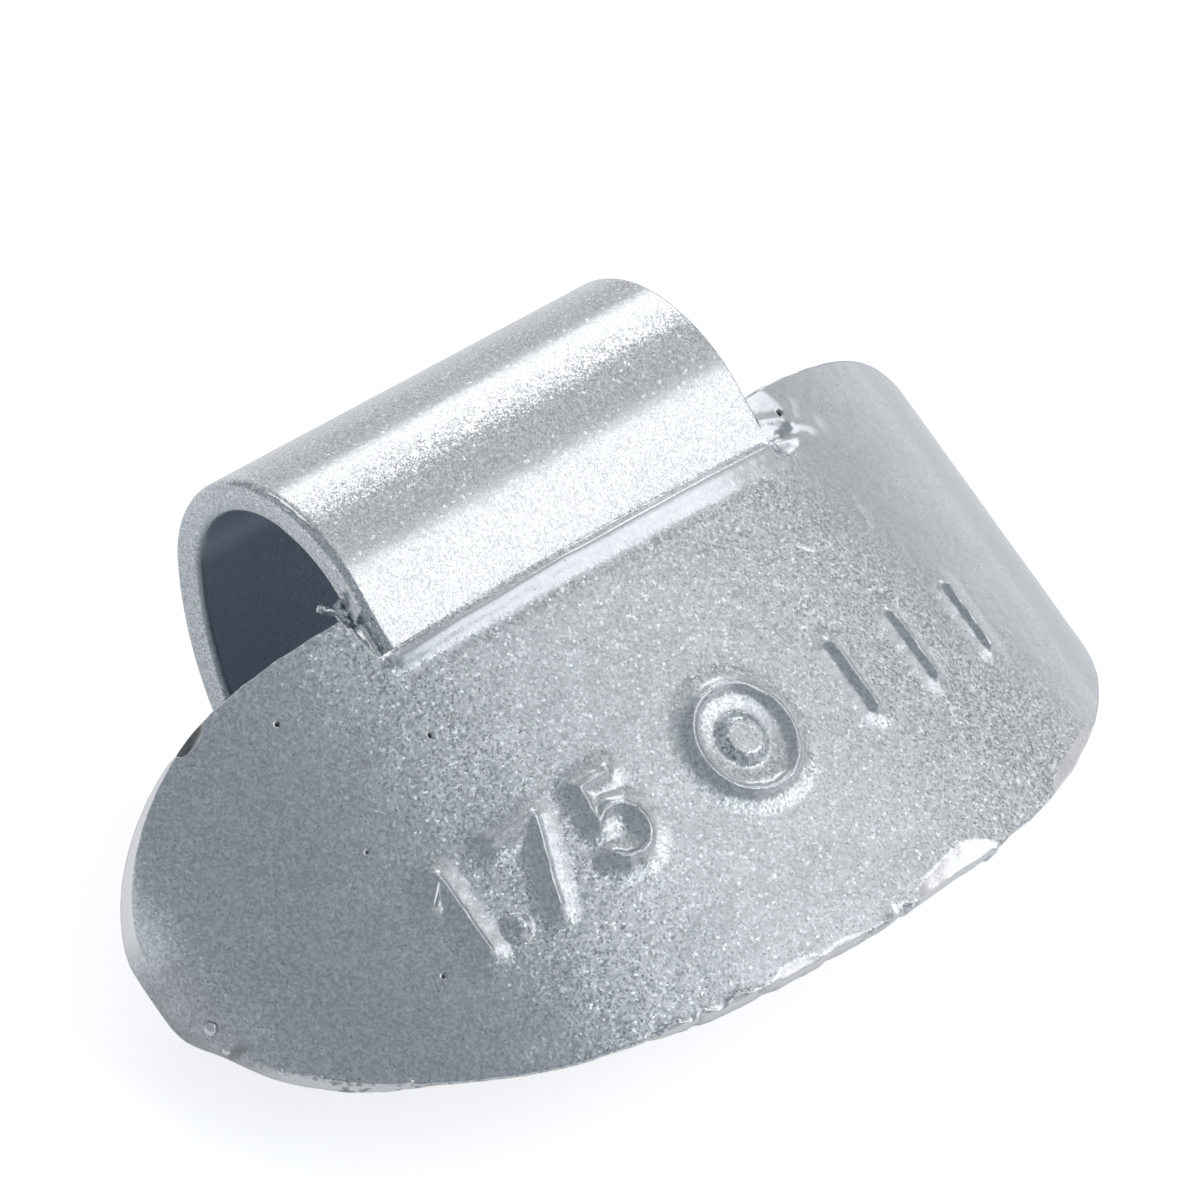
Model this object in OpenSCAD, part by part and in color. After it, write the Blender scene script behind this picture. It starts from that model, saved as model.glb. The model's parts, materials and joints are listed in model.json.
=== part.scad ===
// Clip-on wheel balance weight.
// A crowned lead body is cast round the tang of a spring-steel strip clip.
// The clip hooks over the edge of a steel wheel rim and holds the body against the flange.
// The part lies on its back: X runs along its length, Y up its face, Z off the surface under it.

/* [Lead body] */
// Length of the body from end to end
body_length = 40.5; // [36:0.5:50]
// Depth of the face below the line where the clip enters it
body_depth = 17; // [15.5:0.1:20]
// Height of the two shoulders over that line
shoulder_rise = 1.8; // [1:0.1:2.6]
// Depth below that line at which the body is longest
widest_depth = 5.4; // [4.4:0.1:7]
// Length of each rounded shoulder corner
shoulder_corner = 8.7; // [7:0.1:9.6]
// Thickness at the middle of the crowned front
body_thickness = 9.4; // [8.8:0.1:11]
// Thickness of the two ends
end_thickness = 0.9; // [0.7:0.05:1.4]
// Drop of the crowned front from the middle to where it rounds off into the ends
crown_drop = 2.8; // [2.2:0.1:3.4]
// Length of the rounding at each end, measured along the body
end_rounding_length = 5.2; // [4:0.1:6]
// Height of the straight band round the front edge, before the draft begins
edge_band = 0.5; // [0.3:0.05:0.9]
// Height of the drafted side under that band where the body is thinnest
least_side = 0.2; // [0.1:0.05:0.3]
// Draft of the sides towards the back, in degrees
side_draft = 26; // [12:1:30]
// Radius that softens the front edge
edge_round = 0.4; // [0.2:0.05:0.6]
// Squareness of the shoulder corners, where 2 is an ellipse
shoulder_squareness = 2.8; // [2:0.1:3.4]
// Squareness of the lower corners, where 2 is an ellipse
belly_squareness = 2.4; // [2:0.05:2.8]

/* [Clip] */
// Width of the strip
clip_width = 18.8; // [15:0.1:21]
// Thickness of the strip
strip_thickness = 1.2; // [0.9:0.05:1.5]
// Forward lean of the front leg, in degrees
leg_lean = 23; // [16:1:28]
// Straight length of the front leg over the tang
leg_length = 3.1; // [2:0.1:4]
// Centreline radius of the front shoulder bend
shoulder_bend_radius = 5.5; // [4.6:0.1:7]
// Turn of the front shoulder bend, in degrees
shoulder_bend_turn = 43; // [36:1:48]
// Inside radius of the hook that takes the rim edge
hook_radius = 3.4; // [3:0.05:4.2]
// Turn of the hook, in degrees
hook_turn = 112; // [109:1:118]
// Centreline radius of the sweep into the far leg
sweep_radius = 12; // [9:0.1:16]
// Turn of that sweep, in degrees
sweep_turn = 24; // [16:1:30]
// Flat left between the hook and the bend on each side of it
bend_gap = 0.3; // [0.2:0.05:0.8]
// Straight length of the far leg
far_leg_length = 5; // [4:0.1:6]
// Bevel along the edges of the strip
strip_bevel = 0.2; // [0.05:0.05:0.35]

/* [Tang] */
// Distance of the tang's middle plane from the back of the body
tang_height = 5.9; // [5:0.1:6.4]
// Straight length of the tang inside the lead
tang_length = 7; // [5:0.1:9]
// Centreline radius of the bend between the tang and the front leg
tang_bend_radius = 2.6; // [2:0.1:4]
// Depth at which that bend ends, below the line where the clip leaves the lead
tang_bend_depth = 1.5; // [1.2:0.05:2]
// Diameter of the holes that the lead fills and locks in
lock_hole_d = 3; // [2:0.1:4]
// Distance between the middles of the lock holes
lock_hole_spacing = 9; // [6:0.1:12]
// Radius of the bead of lead along the clip
bead_radius = 0.5; // [0.3:0.05:0.7]
// Width of the groove between each side of the clip and the shoulder beside it
groove_width = 0.3; // [0.15:0.05:0.5]

/* [Hidden] */
$fn = 96;

// Cutters run this far past what they cut
overrun = 1;

// Straight stretches of the strip reach this far into the bends, and are thinner there by the inset
lap = 0.1;
lap_inset = 0.005;

// Stations along each half of the body, and steps round the front edge
station_steps = 24;
rounding_steps = 3;

half_length = body_length / 2;
hook_centreline_radius = hook_radius + strip_thickness / 2;

// Path of the strip, as [y, z] in the plane across the body.
// A heading of 0 points up the face, and a positive turn goes towards the back.
function along(heading) = [cos(heading), -sin(heading)];
function backward(heading) = [-sin(heading), -cos(heading)];
function leg_end(start, heading, length) = start + length * along(heading);
function bend_centre(start, heading, radius) = start + radius * backward(heading);
function bend_end(start, heading, radius, turn) =
    bend_centre(start, heading, radius) - radius * backward(heading + turn);

lean_heading = -leg_lean;
hook_heading = lean_heading + shoulder_bend_turn;
sweep_heading = hook_heading + hook_turn;
far_heading = sweep_heading + sweep_turn;

tang_top = [-tang_bend_depth - tang_bend_radius * sin(leg_lean), tang_height];
tang_foot = tang_top - [tang_length, 0];
leg_start = bend_end(tang_top, 0, -tang_bend_radius, lean_heading);
shoulder_start = leg_end(leg_start, lean_heading, leg_length);
shoulder_end = bend_end(shoulder_start, lean_heading, shoulder_bend_radius, shoulder_bend_turn);
hook_start = leg_end(shoulder_end, hook_heading, bend_gap);
hook_centre = bend_centre(hook_start, hook_heading, hook_centreline_radius);
hook_end = bend_end(hook_start, hook_heading, hook_centreline_radius, hook_turn);
sweep_start = leg_end(hook_end, sweep_heading, bend_gap);
far_start = bend_end(sweep_start, sweep_heading, sweep_radius, sweep_turn);
far_tip = leg_end(far_start, far_heading, far_leg_length);

// Front surface: a wide crown that rounds off into both ends
crown_reach = half_length - end_rounding_length;
crown_angle = 2 * atan(crown_drop / crown_reach);
crown_radius = crown_reach / sin(crown_angle);
end_fall = body_thickness - end_thickness - crown_drop;

// Radius of the end rounding that is tangent to the crown and meets the end thickness
end_radius = (end_rounding_length * end_rounding_length + end_fall * end_fall)
    / (2 * (end_fall * cos(crown_angle) - end_rounding_length * sin(crown_angle)));
end_centre = [crown_reach - end_radius * sin(crown_angle),
              body_thickness - crown_drop - end_radius * cos(crown_angle)];
function front_height(x) =
    abs(x) <= crown_reach
        ? body_thickness - crown_radius + sqrt(crown_radius * crown_radius - x * x)
        : end_centre[1] + sqrt(end_radius * end_radius - pow(min(abs(x), half_length) - end_centre[0], 2));

// Outline of the face: rounded shoulders over a deep belly, in stations from end to end
function falloff(share, squareness) = pow(max(1 - pow(share, squareness), 0), 1 / squareness);
function belly_level(x) =
    -widest_depth - (body_depth - widest_depth) * falloff(abs(x) / half_length, belly_squareness);
function shoulder_level(x) =
    let (into_corner = max(abs(x) - half_length + shoulder_corner, 0) / shoulder_corner)
    -widest_depth + (widest_depth + shoulder_rise) * falloff(into_corner, shoulder_squareness);

// Stations crowd towards the ends, where the outline turns upright
function station(i) =
    let (angle = 90 * (i / station_steps - 1))
    half_length * sign(sin(angle)) * pow(abs(sin(angle)), 2 / belly_squareness);
last_station = 2 * station_steps;
outline = concat(
    [for (i = [0 : last_station]) [station(i), belly_level(station(i))]],
    [for (i = [last_station - 1 : -1 : 1]) [station(i), shoulder_level(station(i))]]);
outline_count = len(outline);

function outline_at(i) = outline[(i + outline_count) % outline_count];
function inward(i) =
    let (d = outline_at(i + 1) - outline_at(i - 1))
    [-d[1], d[0]] / norm(d);

function edge_height(i) = front_height(outline_at(i)[0]);
function band_foot(i) = max(edge_height(i) - edge_round - edge_band, least_side);
function back_inset(i) = band_foot(i) * tan(side_draft);

// One closed ring of points for each level, from the back to the front
function back_ring() =
    [for (i = [0 : outline_count - 1]) concat(outline_at(i) + back_inset(i) * inward(i), 0)];
function band_ring() =
    [for (i = [0 : outline_count - 1]) concat(outline_at(i), band_foot(i))];
function rounding_ring(step) =
    let (angle = 90 * step / rounding_steps)
    [for (i = [0 : outline_count - 1])
        let (p = outline_at(i) + edge_round * (1 - cos(angle)) * inward(i))
        concat(p, front_height(p[0]) - edge_round * (1 - sin(angle)))];

body_rings = concat(
    [back_ring(), band_ring()],
    [for (step = [0 : rounding_steps]) rounding_ring(step)]);
ring_count = len(body_rings);

// The rings joined into one skin, and the back and front closed by a strip for each station
function ring_faces() =
    [for (r = [0 : ring_count - 2], i = [0 : outline_count - 1], half = [0, 1])
        let (n = (i + 1) % outline_count, low = r * outline_count, high = low + outline_count)
        half == 0 ? [low + i, high + n, low + n] : [low + i, high + i, high + n]];
function cap_faces(offset, is_front) =
    [for (i = [0 : last_station - 1], half = [0, 1])
        let (a = offset + i,
             b = offset + i + 1,
             c = offset + outline_count - i - 1,
             d = offset + (outline_count - i) % outline_count,
             face = half == 0 ? [a, b, c] : [a, c, d])
        if (face[0] != face[1] && face[1] != face[2] && face[2] != face[0])
            is_front ? [face[2], face[1], face[0]] : face];

module body_casting() {
    polyhedron(
        points = [for (ring = body_rings, p = ring) p],
        faces = concat(
            ring_faces(),
            cap_faces(0, false),
            cap_faces((ring_count - 1) * outline_count, true)));
}

// Level gap in the shoulders that the clip stands in, with a groove at each side of it
module clip_notch() {
    notch_width = clip_width + 2 * groove_width;
    translate([-notch_width / 2, 0, -overrun])
        cube([notch_width, shoulder_rise + overrun, body_thickness + 2 * overrun]);
}

// Bead where the lead has drawn up along the front of the strip
module lead_bead() {
    entry_height = leg_start[1] + tang_bend_depth * tan(leg_lean) + strip_thickness / 2 / cos(leg_lean);
    translate([-clip_width / 2, 0, entry_height])
        rotate([0, 90, 0])
            cylinder(r = bead_radius, h = clip_width);
}

// Cross-section of the strip with bevelled edges, centred on its middle plane
module strip_section(inset) {
    w = clip_width / 2 - inset;
    t = strip_thickness / 2 - inset;
    polygon([
        [-w + strip_bevel, -t], [w - strip_bevel, -t], [w, -t + strip_bevel], [w, t - strip_bevel],
        [w - strip_bevel, t], [-w + strip_bevel, t], [-w, t - strip_bevel], [-w, -t + strip_bevel]]);
}

// A straight stretch, lapped into the bends at its two ends so that the strip is one solid
module straight_strip(length, lap_before, lap_after) {
    translate([0, -lap_before, 0])
        rotate([-90, 0, 0])
            linear_extrude(height = lap_before + length + lap_after)
                strip_section(lap_inset);
}

// A bend of the strip about an axis along X. A negative radius bends it forwards.
module bent_strip(radius, turn) {
    translate([0, 0, -radius])
        rotate([0, radius > 0 ? -90 : 90, 0])
            rotate_extrude(angle = abs(turn))
                translate([abs(radius), 0])
                    rotate(90)
                        strip_section(0);
}

// Each step of the run starts where the one before it ends. A step is [radius, turn],
// or [0, length] where the strip is straight.
module strip_run(steps, i = 0) {
    if (i < len(steps)) {
        radius = steps[i][0];
        amount = steps[i][1];
        if (radius == 0) {
            straight_strip(amount, i == 0 ? 0 : lap, i == len(steps) - 1 ? 0 : lap);
            translate([0, amount, 0])
                strip_run(steps, i + 1);
        } else {
            bent_strip(radius, amount);
            translate([0, 0, -radius])
                rotate([-amount, 0, 0])
                    translate([0, 0, radius])
                        strip_run(steps, i + 1);
        }
    }
}

module clip_strip() {
    translate([0, tang_foot[0], tang_foot[1]])
        strip_run([
            [0, tang_length],
            [-tang_bend_radius, -leg_lean],
            [0, leg_length],
            [shoulder_bend_radius, shoulder_bend_turn],
            [0, bend_gap],
            [hook_centreline_radius, hook_turn],
            [0, bend_gap],
            [sweep_radius, sweep_turn],
            [0, far_leg_length]]);
}

module lock_holes() {
    for (side = [-1, 1])
        translate([side * lock_hole_spacing / 2, tang_foot[0] + tang_length / 2, tang_height - strip_thickness])
            cylinder(d = lock_hole_d, h = 2 * strip_thickness);
}

module clip_shape() {
    difference() {
        clip_strip();
        lock_holes();
    }
}

// At rest the part bears on the lower edge of its back and on the tip of the far leg
far_corner = far_tip - strip_thickness / 2 * backward(far_heading);
back_edge = min([for (p = back_ring()) p[1]]);
rest_tilt = atan(-far_corner[1] / (far_corner[0] - back_edge));

function laid_y(p) = (p[0] - back_edge) * cos(rest_tilt) - p[1] * sin(rest_tilt);

// The origin is under the middle of the part, between the belly and the top of the hook
belly_y = min([for (step = [0 : rounding_steps])
    let (p = rounding_ring(step)[station_steps])
    laid_y([p[1], p[2]])]);
hook_y = laid_y(hook_centre) + hook_centreline_radius + strip_thickness / 2;

module lay_down() {
    translate([0, -(belly_y + hook_y) / 2, 0])
        rotate([rest_tilt, 0, 0])
            translate([0, -back_edge, 0])
                children();
}

module weight_body() {
    color([0.66, 0.68, 0.70])
        lay_down()
            difference() {
                union() {
                    difference() {
                        body_casting();
                        clip_notch();
                    }
                    lead_bead();
                }
                clip_shape();
            }
}

module spring_clip() {
    color([0.80, 0.82, 0.84])
        lay_down()
            clip_shape();
}

weight_body();
spring_clip();
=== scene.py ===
# Clip-on wheel balance weight: lead body cast on a spring-steel strip, silver paint over both.
import bpy
import json
import math
import numpy as np
from mathutils import Matrix, Vector

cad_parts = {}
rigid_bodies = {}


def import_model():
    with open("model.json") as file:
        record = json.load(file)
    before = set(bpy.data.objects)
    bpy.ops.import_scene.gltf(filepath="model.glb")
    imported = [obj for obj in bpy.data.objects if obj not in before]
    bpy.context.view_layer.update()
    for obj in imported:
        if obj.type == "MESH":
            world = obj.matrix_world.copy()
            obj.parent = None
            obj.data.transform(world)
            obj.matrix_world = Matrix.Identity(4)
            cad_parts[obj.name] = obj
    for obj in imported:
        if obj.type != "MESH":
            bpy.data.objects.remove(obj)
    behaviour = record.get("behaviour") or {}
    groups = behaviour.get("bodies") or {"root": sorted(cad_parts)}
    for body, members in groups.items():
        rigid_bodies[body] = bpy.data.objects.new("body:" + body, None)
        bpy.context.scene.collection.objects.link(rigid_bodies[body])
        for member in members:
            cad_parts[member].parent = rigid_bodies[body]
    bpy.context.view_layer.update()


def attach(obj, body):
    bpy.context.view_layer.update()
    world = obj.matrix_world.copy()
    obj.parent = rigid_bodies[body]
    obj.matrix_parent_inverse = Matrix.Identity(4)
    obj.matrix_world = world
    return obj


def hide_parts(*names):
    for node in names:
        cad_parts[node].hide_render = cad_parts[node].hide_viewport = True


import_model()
mm = 0.001

# how the part lies: turned about X by the tilt, so that back edge and far leg both touch the floor
lay = {"tilt": 22.754, "backEdge": -12.86, "shift": -5.8589}

# same sizes as the solids, in mm. From crispRound on, sizes that only this model has
bodySize = {
    "length": 40.5, "depth": 17.0, "rise": 1.8, "widest": 5.4, "corner": 8.7,
    "thickness": 9.4, "endThickness": 0.9, "crownDrop": 2.8, "endRounding": 5.2,
    "band": 0.5, "leastSide": 0.2, "draft": 26.0, "edgeRound": 0.4,
    "shoulderSquareness": 2.8, "bellySquareness": 2.4,
    "crispRound": 0.13, "crispTrim": 0.15, "notchRound": 0.1, "notchLeft": -10.3, "notchRight": 9.2,
    "wallLean": 0.75, "lowTuck": 0.6, "lowDraft": 9, "grid": 0.065, "sideStep": 0.2, "backStep": 0.5,
}
# runs of the strip: bend radius (0 is straight), then turn in degrees or length
clipSize = {
    "width": 18.8, "thickness": 1.19, "start": (-1.5, 6.1067), "lean": -23.0, "buried": 2.0,
    "runs": [(0, 3.1), (5.5, 43), (0, 0.3), (4.0, 112), (0, 0.3), (12.0, 24), (0, 5.0)],
    "edgeRound": 0.34, "rightRound": 0.15, "rideUp": 0.58, "rideFrom": 1.0, "rideTo": 4.1,
    "step": 0.12, "across": 0.12,
}


def toPart(points):
    # local mm (x along, y up the face, z off the back) to metres in the shared frame
    c, s = math.cos(math.radians(lay["tilt"])), math.sin(math.radians(lay["tilt"]))
    p = np.asarray(points, float)
    y, z = p[:, 1] - lay["backEdge"], p[:, 2]
    return np.column_stack([p[:, 0], y * c - z * s + lay["shift"], y * s + z * c]) * mm


def smooth(edge0, edge1, v):
    t = np.clip((v - edge0) / (edge1 - edge0), 0, 1)
    return t * t * (3 - 2 * t)


def hump(v, lo, hi):
    # a parabola that is 1 midway between lo and hi, and 0 at both and beyond
    return np.clip(4 * (v - lo) * (hi - v) / (hi - lo) ** 2, 0, 1)


def ripple(x, y, cell, seed):
    # soft random hills, about -1 to 1, with hills one cell apart
    rnd = np.random.RandomState(seed).uniform(-1, 1, (256, 256))
    gx, gy = x / cell + 1000.5, y / cell + 1000.5
    ix, iy = np.floor(gx).astype(int), np.floor(gy).astype(int)
    fx, fy = gx - ix, gy - iy
    fx, fy = fx * fx * fx * (fx * (fx * 6 - 15) + 10), fy * fy * fy * (fy * (fy * 6 - 15) + 10)
    at = lambda a, b: rnd[a % 256, b % 256]
    return ((at(ix, iy) * (1 - fx) + at(ix + 1, iy) * fx) * (1 - fy)
            + (at(ix, iy + 1) * (1 - fx) + at(ix + 1, iy + 1) * fx) * fy)


def makeObject(name, points, faces, material, masks):
    # masks: thin paint and painted shade, grime and painted shade, still paint, and fresh paint and painted
    # light, one number each per point
    mesh = bpy.data.meshes.new(name)
    mesh.from_pydata(toPart(points).tolist(), [], faces)
    mesh.validate()
    mesh.polygons.foreach_set("use_smooth", [True] * len(mesh.polygons))
    layer = mesh.attributes.new("paintWear", "FLOAT_COLOR", "POINT")
    layer.data.foreach_set("color", np.asarray(masks, np.float32).ravel())
    mesh.materials.append(material)
    obj = bpy.data.objects.new(name, mesh)
    bpy.context.collection.objects.link(obj)
    return obj


half = bodySize["length"] / 2
reach = half - bodySize["endRounding"]
crownAngle = 2 * math.atan(bodySize["crownDrop"] / reach)
crownRadius = reach / math.sin(crownAngle)
endFall = bodySize["thickness"] - bodySize["endThickness"] - bodySize["crownDrop"]
endRadius = (bodySize["endRounding"] ** 2 + endFall ** 2) / (
    2 * (endFall * math.cos(crownAngle) - bodySize["endRounding"] * math.sin(crownAngle)))
endCentre = (reach - endRadius * math.sin(crownAngle),
             bodySize["thickness"] - bodySize["crownDrop"] - endRadius * math.cos(crownAngle))


def frontHeight(x):
    # height of the face: a wide crown that runs into a rounding at both ends
    a = np.abs(x)
    crown = bodySize["thickness"] - crownRadius + np.sqrt(np.maximum(crownRadius ** 2 - a ** 2, 0))
    end = endCentre[1] + np.sqrt(np.maximum(endRadius ** 2 - (np.minimum(a, half) - endCentre[0]) ** 2, 0))
    return np.where(a <= reach, crown, end)


def bellyLevel(x):
    s = bodySize
    f = np.maximum(1 - (np.abs(x) / half) ** s["bellySquareness"], 0)
    return -s["widest"] - (s["depth"] - s["widest"]) * f ** (1 / s["bellySquareness"])


def shoulderLevel(x):
    s = bodySize
    into = np.maximum(np.abs(x) - half + s["corner"], 0) / s["corner"]
    f = np.maximum(1 - into ** s["shoulderSquareness"], 0)
    return -s["widest"] + (s["widest"] + s["rise"]) * f ** (1 / s["shoulderSquareness"])


def notchLevel(x):
    # 0 in the gap that the clip stands in, high outside it
    left = smooth(bodySize["notchLeft"] + 0.3, bodySize["notchLeft"] - 0.3, x)
    right = smooth(bodySize["notchRight"] - 0.1, bodySize["notchRight"] + 0.1, x)
    return (left + right) * (bodySize["rise"] + 0.6)


# raised work on the face, in mm. Strokes run through (x, y) points from the lower left of each mark,
# places are where that corner stands, and dots are x, y, radius, height
marks = {
    "swell": 0.23, "swellReach": 0.92, "swellPower": 1.7, "swellShift": (0.05, -0.04),
    "crest": 0.13, "crestReach": 0.17, "wobble": 0.02,
    "one": [(0.25, 2.3), (0.95, 3.0), (0.95, 0.0)],
    "seven": [(0.0, 3.0), (1.75, 3.0), (0.65, 0.0)],
    "five": [(1.6, 3.0), (0.35, 3.0), (0.2, 1.62), (0.55, 1.86), (0.95, 1.93), (1.4, 1.76), (1.68, 1.38),
             (1.74, 0.95), (1.62, 0.48), (1.3, 0.12), (0.85, 0.0), (0.4, 0.08), (0.05, 0.34)],
    "bar": [(0.5, 0.15), (0.5, 2.75)],
    "ring": [(2.0 * math.cos(math.radians(a)), 2.0 * math.sin(math.radians(a))) for a in range(0, 361, 10)],
    "places": [("one", -13.9, -10.4), ("seven", -10.75, -10.4), ("five", -7.45, -10.4),
               ("ring", -0.5, -8.85), ("bar", 4.7, -10.3), ("bar", 8.1, -10.3), ("bar", 11.5, -10.3)],
    "dots": [(-11.6, -10.3, 0.26, 0.34), (-0.5, -8.85, 0.75, 0.3)],
}
# bead of lead along the clip, and how far the shoulder has sunk to the clip on its right
lip = {"left": -9.9, "right": 9.1, "reachLeft": 0.95, "reachRight": 1.25, "crestAt": 0.36, "slope": 0.165,
       "drop": 0.25, "hollow": 0.02, "seam": 0.12}


def strokeDistance(x, y, path):
    # distance of each point from a run of straight pieces
    best = np.full(x.shape, 9.0)
    for (ax, ay), (bx, by) in zip(path[:-1], path[1:]):
        dx, dy = bx - ax, by - ay
        t = np.clip(((x - ax) * dx + (y - ay) * dy) / (dx * dx + dy * dy), 0, 1)
        best = np.minimum(best, np.hypot(x - ax - t * dx, y - ay - t * dy))
    return best


def nearestMark(x, y):
    best = np.full(x.shape, 9.0)
    for name, px, py in marks["places"]:
        best = np.minimum(best, strokeDistance(x - px, y - py, marks[name]))
    return best


def markRelief(x, y):
    z = np.zeros(x.shape)
    wx = x + marks["wobble"] * ripple(x, y, 0.35, 11)
    wy = y + marks["wobble"] * ripple(x, y, 0.35, 12)
    shiftX, shiftY = marks["swellShift"]
    for name, px, py in marks["places"]:
        d = strokeDistance(wx - px, wy - py, marks[name])
        aside = strokeDistance(wx - px - shiftX, wy - py - shiftY, marks[name])
        crest = marks["crest"] * (1 + 0.2 * ripple(x, y, 0.5, 13)) * np.exp(-(d / marks["crestReach"]) ** 2)
        ramp = np.clip(1 - aside / marks["swellReach"], 0, 1)
        z = np.maximum(z, marks["swell"] * ramp ** marks["swellPower"] + crest)
    for px, py, radius, height in marks["dots"]:
        d = np.hypot(x - px, y - py)
        z = np.maximum(z, height * smooth(radius + 0.35, radius - 0.15, d))
    return z


def lipRelief(x, y):
    # a shelf that drops to the clip, a crest, a long slope and a slight hollow below it
    share = np.clip((x - lip["left"]) / (lip["right"] - lip["left"]), 0, 1)
    reachOut = lip["reachLeft"] * (1 - share) + lip["reachRight"] * share
    depth = -y + 0.04 * ripple(x, y, 1.6, 14)
    ends = (smooth(lip["left"] - 0.3, lip["left"] + 0.5, x)
            * smooth(lip["right"] + 0.35, lip["right"] - 0.7, x))
    out = np.clip((depth - lip["crestAt"]) / (reachOut - lip["crestAt"]), 0, 1)
    bend = 1 - out + 0.8 * np.sin(2 * math.pi * out) / (2 * math.pi)
    bead = lip["slope"] * (reachOut - lip["crestAt"]) * bend
    shelf = lip["drop"] * smooth(lip["crestAt"], 0, depth)
    hollow = lip["hollow"] * np.exp(-((depth - reachOut - 0.12) / 0.22) ** 2)
    return ends * (bead - shelf - hollow) * (y > -3)


# damage and casting flaws, in mm
flaws = {
    # cut faces along the belly: from x, to x, width, slope
    "facets": [(-9.9, -5.6, 0.45, 0.19), (-5.3, -2.8, 0.62, 0.3), (-3.2, -0.8, 0.5, 0.3),
               (0.35, 1.0, 0.55, 0.3), (1.7, 6.4, 1.05, 0.31), (6.5, 8.4, 0.3, 0.27), (10.2, 14.6, 0.7, 0.2)],
    # burrs along them: from x, to x, distance from the rim, height
    "crests": [(-9.7, -8.4, 0.4, 0.09), (-8.5, -7.2, 0.36, 0.08), (-7.4, -5.4, 0.42, 0.09),
               (-4.9, -3.0, 0.12, 0.06), (-0.2, 0.9, 0.2, 0.06), (4.6, 6.3, 0.12, 0.05)],
    # nicks in the face: x, half width, reach, depth. Bites in the outline: x, half width, depth
    "nicks": [(1.12, 0.1, 0.5, 0.4), (-9.95, 0.12, 0.35, 0.3), (-8.05, 0.1, 0.5, 0.25),
              (-2.35, 0.14, 0.3, 0.25), (7.35, 0.16, 0.25, 0.2), (-1.0, 0.1, 0.3, 0.2),
              (9.5, 0.1, 0.2, 0.15)],
    "bites": [(1.12, 0.14, 0.16), (-9.9, 0.2, 0.1), (-8.0, 0.2, 0.08), (3.9, 1.5, 0.08), (6.15, 0.12, -0.1),
              (7.4, 0.5, 0.08), (-2.3, 0.3, 0.07), (-5.2, 0.3, 0.06)],
    # x, y, two radii, depth, turn in degrees
    "pits": [(-16.63, 1.16, 0.66, 0.3, 0.85, 30), (9.24, 1.2, 0.09, 0.09, 0.14, 0),
             (10.24, 0.66, 0.09, 0.13, 0.16, 0), (9.73, 0.02, 0.2, 0.16, 0.05, 0),
             (-14.2, -0.1, 0.08, 0.08, 0.2, 0), (-10.2, -3.2, 0.08, 0.08, 0.15, 0),
             (-14.2, -5.4, 0.07, 0.07, 0.15, 0), (-14.5, -10.3, 0.08, 0.08, 0.15, 0)],
    # beads on the face: x, y, radius, height. Drops on the rim: x, y, z, radius
    "beads": [(-18.95, -10.5, 0.13, 0.12), (-17.2, -12.6, 0.13, 0.12), (9.25, -0.2, 0.16, 0.04)],
    "drops": [(-19.92, -7.1, 1.7, 0.28), (-19.88, -8.0, 1.65, 0.2), (-19.4, -9.7, 2.85, 0.15),
              (-18.85, -10.7, 3.75, 0.12)],
    # two ends, width, depth. The last four are lumps beside the clip
    "scratches": [(10.9, -3.2, 10.7, -4.4, 0.05, 0.03), (6.8, -4.0, 7.3, -4.4, 0.07, 0.03),
                  (8.0, -5.7, 7.9, -6.3, 0.06, 0.03), (-13.2, -12.9, -12.1, -13.6, 0.04, 0.012),
                  (-12.9, -13.3, -12.4, -13.6, 0.04, 0.012), (-5.1, -5.9, -5.0, -7.6, 0.035, 0.01),
                  (-5.5, -6.3, -5.45, -7.2, 0.03, 0.008),
                  (9.35, 0.78, 10.1, 0.52, 0.19, -0.055), (10.9, 0.75, 10.35, 0.16, 0.24, -0.055),
                  (10.4, 0.02, 11.4, -0.3, 0.33, -0.075), (9.7, -0.68, 10.5, -0.48, 0.26, -0.055)],
}


def pitDistance(x, y, pit):
    # 1 at the brim of the pit
    c, s = math.cos(math.radians(pit[5])), math.sin(math.radians(pit[5]))
    dx, dy = x - pit[0], y - pit[1]
    return np.hypot((dx * c + dy * s) / pit[2], (dy * c - dx * s) / pit[3])


def facetWidth(x, y, x0, x1, width):
    return width * np.sqrt(hump(x, x0, x1)) * (1 + 0.15 * ripple(x, y, 0.9, 23))


def wear(x, y):
    # height change where the face is bruised, cut, pitted or burred
    inward = y - bellyLevel(x)
    rough = ripple(x, y, 0.5, 21)
    z = np.zeros(x.shape)
    near = inward < 2.5
    for x0, x1, width, slope in flaws["facets"]:
        z = np.where(near, z - slope * np.maximum(facetWidth(x, y, x0, x1, width) - inward, 0), z)
    for x0, x1, at, height in flaws["crests"]:
        along = hump(x, x0, x1)
        line = at * (0.4 + 0.6 * along) * (1 + 0.35 * ripple(x, y, 0.7, 22))
        z += np.where(near, height * along ** 0.5 * np.exp(-np.abs(inward - line) / 0.08), 0)
    for nx, wide, reachIn, deep in flaws["nicks"]:
        z -= np.where(near, deep * np.exp(-((x - nx) / wide) ** 2) * smooth(reachIn, 0.05, inward), 0)
    for pit in flaws["pits"]:
        d = pitDistance(x, y, pit) * (1 + 0.06 * rough)
        brim = 0.035 * np.exp(-((d - 1.35) / 0.36) ** 2) * (pit[2] > 0.25)   # only round the large one
        z += -pit[4] * smooth(1.05, 0.7, d) + brim
    for px, py, radius, height in flaws["beads"]:
        d = np.hypot(x - px, y - py) / radius * (1 + 0.15 * rough)
        z += height * smooth(1.35, 0.2, d)
    for ax, ay, bx, by, wide, deep in flaws["scratches"]:
        z -= deep * np.exp(-(strokeDistance(x, y, [(ax, ay), (bx, by)]) / wide) ** 2)
    return z


def rideUp(path):
    # how far the strip stands up where it leaves the lead, by the way along it
    return clipSize["rideUp"] * smooth(clipSize["rideTo"], clipSize["rideFrom"], path)


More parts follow.
